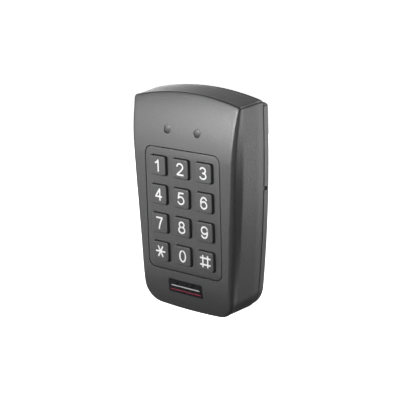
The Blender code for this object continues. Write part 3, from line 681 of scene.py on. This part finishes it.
CASE_PLASTIC = textured_plastic("case_plastic", (0.03, 0.03, 0.031), 0.34)
BEZEL_PLASTIC = textured_plastic("bezel_plastic", (0.03, 0.03, 0.031), 0.35)
PLATE_PLASTIC = textured_plastic("back_plate_plastic", (0.06, 0.06, 0.061), 0.36)
KEY_PLASTIC = satin_plastic("key_plastic", (0.034, 0.034, 0.035), 0.35)
LEGEND_INK = printed_ink("legend_ink", (0.62, 0.62, 0.62))
LENS = smoked_lens("smoked_lens")
BADGE_BLACK = gloss_plate("badge_gloss", (0.008, 0.008, 0.009))
BADGE_RED = printed_ink("badge_red", (0.15, 0.003, 0.02))
BADGE_SILVER = printed_ink("badge_silver", (0.36, 0.36, 0.365))
SILICONE = rubber("keypad_silicone", (0.02, 0.02, 0.02))
GASKET_RUBBER = rubber("gasket_rubber", (0.012, 0.012, 0.012), 0.8)
GROMMET_RUBBER = rubber("grommet_rubber", (0.018, 0.018, 0.018), 0.6)
BOARD_LAMINATE = laminate("board_laminate")
RESIN = satin_plastic("black_resin", (0.018, 0.018, 0.019), 0.45)
BUZZER_PLASTIC = satin_plastic("buzzer_case", (0.015, 0.015, 0.016), 0.35)
COPPER = wound_copper("copper_coil")
NYLON = satin_plastic("connector_nylon", (0.7, 0.66, 0.55), 0.45)
CAN = turned_metal("capacitor_can", (0.75, 0.75, 0.77), 0.3)
ZINC = turned_metal("zinc_screw", (0.7, 0.68, 0.6), 0.35)
STEEL = turned_metal("steel_screw", (0.6, 0.6, 0.6), 0.28)


# ---------------------------------------------------------------- pieces
def build_cover():
    """Hollow shell with openings for the bezel, the lamps, the badge and the case screw."""
    outer = skin_rings(0.0, COVER_REAR_Y)
    inner = skin_rings(WALL, COVER_REAR_Y)
    cover = loft("cover_shell", outer + list(reversed(inner)), CASE_PLASTIC, 40.0)
    opening = rounded_rectangle(BEZEL_WIDTH + 2 * BEZEL_GROOVE, BEZEL_HEIGHT + 2 * BEZEL_GROOVE,
                                BEZEL_CORNER + BEZEL_GROOVE, 12)
    ahead = FRONT_Y - 3 * MM
    cutters = [prism("panel", opening, ahead, FRONT_Y + 6 * MM, 0.0, KEYPAD_Z)]
    for name in ("left", "right"):
        x, _, z = middle_of(f"status_led_{name}")
        cutters.append(prism("lamp", circle(LED_RADIUS + LED_SEAM), ahead, FRONT_Y + 8 * MM, x, z))
    cutters.append(badge_solid("pocket", BADGE_WIDTH + GAP, BADGE_HEIGHT + GAP, -2.0 * MM,
                               BADGE_THICKNESS + 0.1 * MM, None))
    low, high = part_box("case_screw")
    screw_y = middle_of("case_screw")[1]
    head = (high.x - low.x) / 2 + GAP
    for radius, top in ((head, SCREW_COUNTERBORE_TOP), (SCREW_HOLE_RADIUS, SCREW_HOLE_TOP)):
        rings = [level_ring(radius, screw_y, z, 32) for z in (FOOT_SEAM - 9 * MM, top)]
        cutters.append(loft("screw_hole", rings, None))
    cut(cover, cutters)
    shade(cover.data, COVER_SHARP)
    place(cover, CASE, "case_plastic", "front_cover")


def build_bezel():
    """Plate with a rounded edge, a flange behind the cover and twelve apertures."""
    back = FRONT_Y + BEZEL_THICKNESS
    wide, tall = BEZEL_HIGH.x - BEZEL_LOW.x, BEZEL_HIGH.z - BEZEL_LOW.z
    pocket = (BEZEL_WIDTH - BEZEL_RIM, BEZEL_HEIGHT - BEZEL_RIM)
    sections = [(BEZEL_WIDTH - 2 * inset, BEZEL_HEIGHT - 2 * inset, FRONT_Y + depth)
                for inset, depth in rounded_edge(BEZEL_EDGE, BEZEL_EDGE_ANGLES)]
    sections += [(BEZEL_WIDTH, BEZEL_HEIGHT, back), (wide, tall, back),
                 (wide, tall, back + BEZEL_FLANGE_STEP), (*pocket, back + BEZEL_FLANGE_STEP),
                 (*pocket, back)]
    rings = [at_depth(rounded_rectangle(w, h, BEZEL_CORNER, 12), y, 0.0, KEYPAD_Z)
             for w, h, y in sections]
    bezel = loft("bezel_plate", rings, BEZEL_PLASTIC)
    cutters = [prism("aperture", rounded_rectangle(APERTURE_WIDTH, APERTURE_HEIGHT, KEY_CORNER, 6),
                     FRONT_Y - 2 * MM, back + 2 * MM, x, z) for _, x, z in key_places()]
    cut(bezel, cutters)
    soften(bezel, BEZEL_SOFTENING)
    place(bezel, CASE, "bezel_plastic", "keypad_bezel")


def key_places():
    """Name, x and z of every key."""
    for row, names in enumerate(KEY_NAMES):
        for column, name in enumerate(names):
            yield name, (column - 1) * KEY_PITCH, KEYPAD_Z + (1.5 - row) * KEY_PITCH


def key_mesh(rise, stem_end):
    """Cap with a softly rounded top edge, slight side draft, flange and stem."""
    sections = [(-2 * KEY_EDGE - KEY_TOP_FLAT, -rise)]
    sections += [(-2 * inset, -rise + depth) for inset, depth in rounded_edge(KEY_EDGE, EDGE_ANGLES)]
    flange = BEZEL_THICKNESS + GAP
    flange_end = flange + KEY_FLANGE_THICKNESS
    sections += [(KEY_DRAFT, flange), (KEY_FLANGE_GROWTH, flange), (KEY_FLANGE_GROWTH, flange_end)]
    rings = [at_depth(rounded_rectangle(KEY_WIDTH + grow, KEY_HEIGHT + grow, KEY_CORNER), y)
             for grow, y in sections]
    rings += [at_depth(rounded_rectangle(KEY_STEM, KEY_STEM, KEY_CORNER), y)
              for y in (flange_end, stem_end)]
    pattern = loft("key_pattern", rings, KEY_PLASTIC)
    mesh = pattern.data
    bpy.data.objects.remove(pattern, do_unlink=True)
    return mesh


def build_keys():
    """One cap mesh for all keys, each with the strokes of its own legend."""
    low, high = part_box("key_5")
    rise = FRONT_Y - low.y - LEGEND_LIFT - 3 * LEGEND_STEP
    mesh = key_mesh(rise, high.y - FRONT_Y)
    for name, x, z in key_places():
        key = bpy.data.objects.new(f"keycap_{name}", mesh)
        key.location = (x, FRONT_Y, z)
        bpy.context.scene.collection.objects.link(key)
        place(key, f"key_{name}", "key_plastic", f"key_{name}")
        for i, stroke in enumerate(LEGENDS[name]):
            legend = ribbon(f"legend_{name}_{i}", stroke, LEGEND_LIFT + i * LEGEND_STEP)
            legend.data.transform(Matrix.Translation((x, FRONT_Y - rise, z)))
            place(legend, f"key_{name}", "key_plastic")


def arc(cx, cz, rx, rz, start, end, steps=20):
    """Points of an elliptical arc between two angles in degrees, anticlockwise when end > start."""
    angles = [math.radians(start + (end - start) * i / steps) for i in range(steps + 1)]
    return [(cx + rx * math.cos(a), cz + rz * math.sin(a)) for a in angles]


def ribbon(name, points, lift):
    """Stroke of even width with round ends, in the plane of the key's top.

    points are in units of half the legend's width and height.
    """
    half = LEGEND_STROKE / 2
    line = [Vector((x * (LEGEND_WIDTH / 2 - half), z * (LEGEND_HEIGHT / 2 - half)))
            for x, z in points]
    left, right = [], []
    for i, point in enumerate(line):
        before = (point - line[i - 1]).normalized() if i else None
        after = (line[i + 1] - point).normalized() if i + 1 < len(line) else None
        if before is None or after is None:
            along = after if before is None else before
            scale = 1.0
        else:
            along = (before + after).normalized()
            scale = 1.0 / max(along.dot(before), LEGEND_MITRE)
        side = Vector((-along.y, along.x)) * half * scale
        left.append(point + side)
        right.append(point - side)

    def cap(centre, first):
        """Half circle round an end, starting from the first side point."""
        arm = first - centre
        points_round = []
        for k in range(1, LEGEND_CAP_STEPS):
            angle = -math.pi * k / LEGEND_CAP_STEPS
            turned_arm = Vector((arm.x * math.cos(angle) - arm.y * math.sin(angle),
                                 arm.x * math.sin(angle) + arm.y * math.cos(angle)))
            points_round.append(centre + turned_arm)
        return points_round

    edge = left + cap(line[-1], left[-1]) + list(reversed(right)) + cap(line[0], right[0])
    bm = bmesh.new()
    top = [bm.verts.new((p.x, -lift, p.y)) for p in edge]
    low = [bm.verts.new((p.x, LEGEND_ROOT, p.y)) for p in edge]
    count = len(line)
    far_end = count + LEGEND_CAP_STEPS - 1      # first point after the cap of the far end
    near_end = far_end + count                  # first point of the cap of the near end
    left_top, right_top = top[:count], list(reversed(top[far_end:near_end]))
    left_low, right_low = low[:count], list(reversed(low[far_end:near_end]))
    for i in range(count - 1):
        bm.faces.new((left_top[i], left_top[i + 1], right_top[i + 1], right_top[i]))
        bm.faces.new((left_low[i], right_low[i], right_low[i + 1], left_low[i + 1]))
    bm.faces.new([left_top[-1]] + top[count:far_end] + [right_top[-1]])
    bm.faces.new([left_low[-1], right_low[-1]] + list(reversed(low[count:far_end])))
    bm.faces.new([right_top[0]] + top[near_end:] + [left_top[0]])
    bm.faces.new([right_low[0], left_low[0]] + list(reversed(low[near_end:])))
    for i in range(len(edge)):
        j = (i + 1) % len(edge)
        bm.faces.new((top[i], low[i], low[j], top[j]))
    return object_from(name, bm, LEGEND_INK)


def turned(strokes):
    """The same strokes turned by half a turn."""
    return [[(-x, -z) for x, z in stroke] for stroke in strokes]


# Strokes of each legend, in half-widths and half-heights about the key's middle
SIX = [arc(0.06, 0.1, 1.0, 0.9, 34, 185, 24) + [(-0.96, -0.3)],
       arc(0.0, -0.37, 0.96, 0.63, 180, 540, 36)]
LEGENDS = {
    "1": [[(-0.68, 0.5), (-0.32, 0.6), (0.02, 0.8), (0.2, 1.0)], [(0.2, 1.0), (0.2, -1.0)]],
    "2": [arc(0.0, 0.44, 0.95, 0.56, 168, -34)
          + [(0.5, -0.13), (0.0, -0.42), (-0.55, -0.71), (-0.93, -1.0)],
          [(-0.93, -1.0), (1.0, -1.0)]],
    "3": [arc(-0.02, 0.51, 0.84, 0.49, 155, -90), arc(-0.04, -0.48, 0.98, 0.52, 90, -155)],
    "4": [[(0.42, -1.0), (0.42, 1.0)], [(0.36, 0.98), (-0.98, -0.38)],
          [(-0.98, -0.38), (1.0, -0.38)]],
    "5": [[(0.82, 1.0), (-0.56, 1.0)], [(-0.56, 1.0), (-0.8, 0.06)],
          arc(0.0, -0.34, 1.0, 0.66, 146, -155, 28)],
    "6": SIX,
    "7": [[(-0.95, 1.0), (0.93, 1.0)],
          [(0.93, 1.0), (0.42, 0.32), (0.06, -0.33), (-0.18, -1.0)]],
    "8": [arc(0.0, 0.52, 0.78, 0.48, 270, -90, 32), arc(0.0, -0.46, 0.98, 0.54, 90, 450, 36)],
    "9": turned(SIX),
    "0": [arc(0.0, 0.0, 0.94, 1.0, 90, 450, 44)],
    "star": [[(-1.45, 0.0), (1.45, 0.0)], [(-0.73, 0.9), (0.73, -0.9)],
             [(-0.73, -0.9), (0.73, 0.9)]],
    "hash": [[(-0.8, 1.0), (-0.8, -1.0)], [(0.8, 1.0), (0.8, -1.0)],
             [(-1.56, 0.6), (1.56, 0.6)], [(-1.56, -0.6), (1.56, -0.6)]],
}


def build_lamps():
    """Lens with a low dome in front and a flange behind the cover."""
    for name in ("left", "right"):
        low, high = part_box(f"status_led_{name}")
        x, _, z = middle_of(f"status_led_{name}")
        flange = (high.x - low.x) / 2
        sections = [(LED_RADIUS * share, low.y + LED_CROWN * share ** LED_DOME_POWER)
                    for share in LED_DOME_SHARES]
        sections += [(LED_RADIUS, high.y - LED_FLANGE), (flange, high.y - LED_FLANGE),
                     (flange, high.y)]
        rings = [at_depth(circle(r), y, x, z) for r, y in sections]
        lamp = loft(f"lamp_{name}", rings, LENS, 50.0)
        place(lamp, CASE, "led_lens", f"status_led_{name}")


def build_badge():
    """Glossy plate with a light and a red line across it."""
    plate = badge_solid("badge_plate", BADGE_WIDTH, BADGE_HEIGHT, 0.1 * MM, BADGE_THICKNESS,
                        BADGE_BLACK, chamfer=BADGE_STEP)
    place(plate, CASE, "badge_gloss", "badge")
    for name, share, drop, ink in (("badge_line_light", 0.84, -0.3 * MM, BADGE_SILVER),
                                   ("badge_line_red", 0.9, 2.1 * MM, BADGE_RED)):
        line = badge_solid(name, BADGE_WIDTH * share, BADGE_LINE_HEIGHT, -0.02 * MM, 0.3 * MM,
                           ink, BADGE_LINE_HEIGHT * 0.4, drop=drop)
        place(line, CASE, "badge_gloss")


def base_ring(inset, top_inset, y):
    """The seam's outline at depth y, set in all round and by more at the top."""
    points = outline(lambda z: seam_half_width(z) - inset, TOP_APEX_SEAM - inset - top_inset,
                     FOOT_SEAM + inset, TOP_CORNER_SEAM, FOOT_CORNER_SEAM)
    return [Vector((p.x, y, p.y)) for p in points]


def build_gasket():
    sections = ((GASKET_INSET, GASKET_LOW.y), (GASKET_INSET, GASKET_HIGH.y),
                (WALL, GASKET_HIGH.y), (WALL, GASKET_LOW.y))
    rings = [base_ring(inset, LIP_TOP_INSET, y) for inset, y in sections]
    place(hoop("gasket_ring", rings, GASKET_RUBBER), CASE, "gasket_rubber", "case_gasket")


def build_back_plate():
    """Plate with a rounded rear edge and a lip inside the cover, cut for screws and the lead."""
    lip = WALL + GAP
    sections = [(BASE_INSET + inset, BASE_TOP_INSET, -depth)
                for inset, depth in rounded_edge(BASE_REAR_ROUND, EDGE_ANGLES)]
    sections += [(BASE_INSET, BASE_TOP_INSET, BASE_SHELF_Y + BASE_EDGE_DROP),
                 (BASE_INSET + BASE_EDGE_INSET, BASE_TOP_INSET, BASE_SHELF_Y),
                 (lip, LIP_TOP_INSET, BASE_SHELF_Y), (lip + LIP_DRAFT, LIP_TOP_INSET, BASE_LIP_Y),
                 (lip + LIP_THICKNESS, LIP_TOP_INSET, BASE_LIP_Y),
                 (lip + LIP_THICKNESS, LIP_TOP_INSET, BASE_FLOOR_Y)]
    rings = [base_ring(inset, top_inset, y) for inset, top_inset, y in sections]
    plate = loft("rear_plate", rings, PLATE_PLASTIC)

    cable_z = middle_of("cable_grommet")[2]
    front, back = -6 * MM, 2 * MM
    slot = rounded_rectangle(SLOT_WIDTH, SLOT_LENGTH, SLOT_CORNER)
    slot_across = rounded_rectangle(SLOT_LENGTH, SLOT_WIDTH, SLOT_CORNER)
    cutters = [prism("cable_hole", circle(CABLE_HOLE_RADIUS), front, back, 0.0, cable_z),
               prism("tamper_window", circle(TAMPER_RADIUS, 24), front, back, TAMPER_X, TAMPER_Z),
               prism("slot_top", slot, front, back, 0.0, TOP_SLOT_Z),
               prism("slot_foot", slot_across, front, back, 0.0, FOOT_SLOT_Z)]
    notch = rounded_rectangle(2 * NOTCH_DEPTH, NOTCH_HEIGHT, NOTCH_CORNER, 3)
    notch_x = seam_half_width(NOTCH_Z) - BASE_INSET
    for side in (-1, 1):
        cutters.append(prism("wall_hole", circle(WALL_HOLE_RADIUS, 24), front, back,
                             side * WALL_HOLE_X, WALL_HOLE_Z))
        cutters.append(prism("notch", notch, front, BASE_SHELF_Y + NOTCH_REACH,
                             side * notch_x, NOTCH_Z))
    cut(plate, cutters)
    shade(plate.data, BASE_SHARP)
    place(plate, CASE, "back_plate_plastic", "back_plate")


def build_grommet():
    """Bush with a flange in front, and small chamfers on its rims."""
    low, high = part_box("cable_grommet")
    z = middle_of("cable_grommet")[2]
    flange = (high.x - low.x) / 2
    bore, body = GROMMET_BORE, CABLE_HOLE_RADIUS - GAP
    flange_back = BASE_FLOOR_Y - GAP
    sections = ((bore + 0.5 * MM, high.y), (body - 0.4 * MM, high.y), (body, high.y - 0.4 * MM),
                (body, flange_back), (flange - 0.3 * MM, flange_back),
                (flange, flange_back - 0.3 * MM), (flange, low.y + 0.3 * MM),
                (flange - 0.3 * MM, low.y), (bore + 0.4 * MM, low.y), (bore, low.y + 0.4 * MM),
                (bore, high.y - 0.5 * MM))
    rings = [at_depth(circle(r, 64), y, 0.0, z) for r, y in sections]
    place(hoop("grommet_bush", rings, GROMMET_RUBBER), CASE, "grommet_rubber", "cable_grommet")


def build_case_screw():
    """Security screw seen in the foot: domed head with a six-lobed recess and a centre pin."""
    low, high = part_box("case_screw")
    y = middle_of("case_screw")[1]
    head = (high.x - low.x) / 2
    sections = ((head * 0.35, low.z), (head * 0.7, low.z + 0.04 * MM),
                (head * 0.9, low.z + 0.14 * MM), (head, low.z + 0.3 * MM), (head, SCREW_SEAT),
                (SCREW_SHANK_RADIUS, SCREW_SEAT), (SCREW_SHANK_RADIUS, high.z - 1.0 * MM),
                (SCREW_TIP_RADIUS, high.z))
    screw = loft("tamper_screw", [level_ring(r, y, z) for r, z in sections], STEEL)
    lobes = []
    for i in range(RECESS_SIDES):
        angle = math.tau * i / RECESS_SIDES
        reach = (RECESS_RADIUS + RECESS_WAVE * math.cos(RECESS_LOBES * angle)) * MM
        lobes.append((reach * math.cos(angle), reach * math.sin(angle)))
    recess = [[Vector((px, y + pz, z)) for px, pz in lobes]
              for z in (low.z - 1 * MM, low.z + RECESS_DEPTH)]
    cut(screw, [loft("recess", recess, None)])
    pin = [level_ring(PIN_RADIUS, y, z, 24)
           for z in (low.z + 0.15 * MM, low.z + RECESS_DEPTH + 0.02 * MM)]
    place(loft("tamper_screw_pin", pin, STEEL), CASE, "steel_screw")
    screw.data.set_sharp_from_angle(angle=math.radians(BASE_SHARP))
    place(screw, CASE, "steel_screw", "case_screw")


def finish_inner_nodes():
    """The pieces behind the cover keep their CAD shape and get node materials."""
    materials = {"keypad_mat": SILICONE, "circuit_board": BOARD_LAMINATE, "antenna_coil": COPPER,
                 "microcontroller": RESIN, "radio_chip": RESIN, "tamper_sensor": RESIN,
                 "buzzer": BUZZER_PLASTIC, "capacitor": CAN, "cable_connector": NYLON}
    for i in range(1, 5):
        materials[f"board_screw_{i}"] = ZINC
    for name, material in materials.items():
        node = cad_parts[name]
        node.data.materials.clear()
        node.data.materials.append(material)


# ---------------------------------------------------------------- stage, light and camera
def stage_material():
    """Pale matt floor, kept bright enough to read as plain paper."""
    shader = Shader("floor_paper", (0.9, 0.9, 0.9), 0.9)
    shader.main.inputs["Emission Color"].default_value = WHITE
    shader.main.inputs["Emission Strength"].default_value = FLOOR_GLOW
    shader.vary_colour(shader.noise(0.3), 0.98, 1.0)
    return shader.material


def build_floor():
    bm = bmesh.new()
    for x, y in ((-1, -1), (1, -1), (1, 1), (-1, 1)):
        bm.verts.new((x * FLOOR_HALF, y * FLOOR_HALF, 0.0))
    bm.faces.new(bm.verts)
    floor = object_from("floor", bm, stage_material())
    floor.location.z = FOOT_SEAM - FLOOR_DROP
    floor.visible_diffuse = False
    floor.visible_glossy = False


def bearing(azimuth, elevation):
    """Unit vector from the case; azimuth 0 is in front, 90 at the right, in degrees."""
    a, e = math.radians(azimuth), math.radians(elevation)
    return Vector((math.sin(a) * math.cos(e), -math.cos(a) * math.cos(e), math.sin(e)))


def area_light(name, azimuth, elevation, distance, size, power):
    """Square light aimed at the case."""
    light = bpy.data.lights.new(name, "AREA")
    light.shape = "SQUARE"
    light.size = size
    light.energy = power
    item = bpy.data.objects.new(name, light)
    direction = bearing(azimuth, elevation)
    item.location = LIGHT_AIM + direction * distance
    item.rotation_euler = direction.to_track_quat("Z", "Y").to_euler()
    item.visible_camera = False
    bpy.context.scene.collection.objects.link(item)


def build_lights():
    for row in LIGHTS:
        area_light(*row)


def build_world():
    """White to the camera, faint grey light for the scene."""
    world = bpy.data.worlds.new("studio")
    world.use_nodes = True
    nodes, links = world.node_tree.nodes, world.node_tree.links
    base = nodes["Background"]
    base.inputs["Color"].default_value = WHITE
    base.inputs["Strength"].default_value = FILL_STRENGTH
    white = nodes.new("ShaderNodeBackground")
    white.inputs["Color"].default_value = WHITE
    white.inputs["Strength"].default_value = 1.0
    path = nodes.new("ShaderNodeLightPath")
    mix = nodes.new("ShaderNodeMixShader")
    links.new(path.outputs["Is Camera Ray"], mix.inputs["Fac"])
    links.new(base.outputs["Background"], mix.inputs[1])
    links.new(white.outputs["Background"], mix.inputs[2])
    links.new(mix.outputs["Shader"], nodes["World Output"].inputs["Surface"])
    bpy.context.scene.world = world
    bpy.context.scene.view_settings.view_transform = "Standard"


def build_camera():
    camera = bpy.data.cameras.new("camera")
    camera.sensor_width = 36.0
    camera.lens = CAMERA_LENS
    camera.clip_start = 0.01
    item = bpy.data.objects.new("camera", camera)
    back = bearing(CAMERA_AZIMUTH, CAMERA_ELEVATION)
    facing = back.to_track_quat("Z", "Y").to_matrix().to_4x4()
    item.matrix_world = (Matrix.Translation(CAMERA_AIM + back * CAMERA_DISTANCE) @ facing
                         @ Matrix.Rotation(math.radians(CAMERA_ROLL), 4, "Z"))
    bpy.context.scene.collection.objects.link(item)
    bpy.context.scene.camera = item


build_cover()
build_bezel()
build_keys()
build_lamps()
build_badge()
build_gasket()
build_back_plate()
build_grommet()
build_case_screw()
finish_inner_nodes()
build_floor()
build_lights()
build_world()
build_camera()
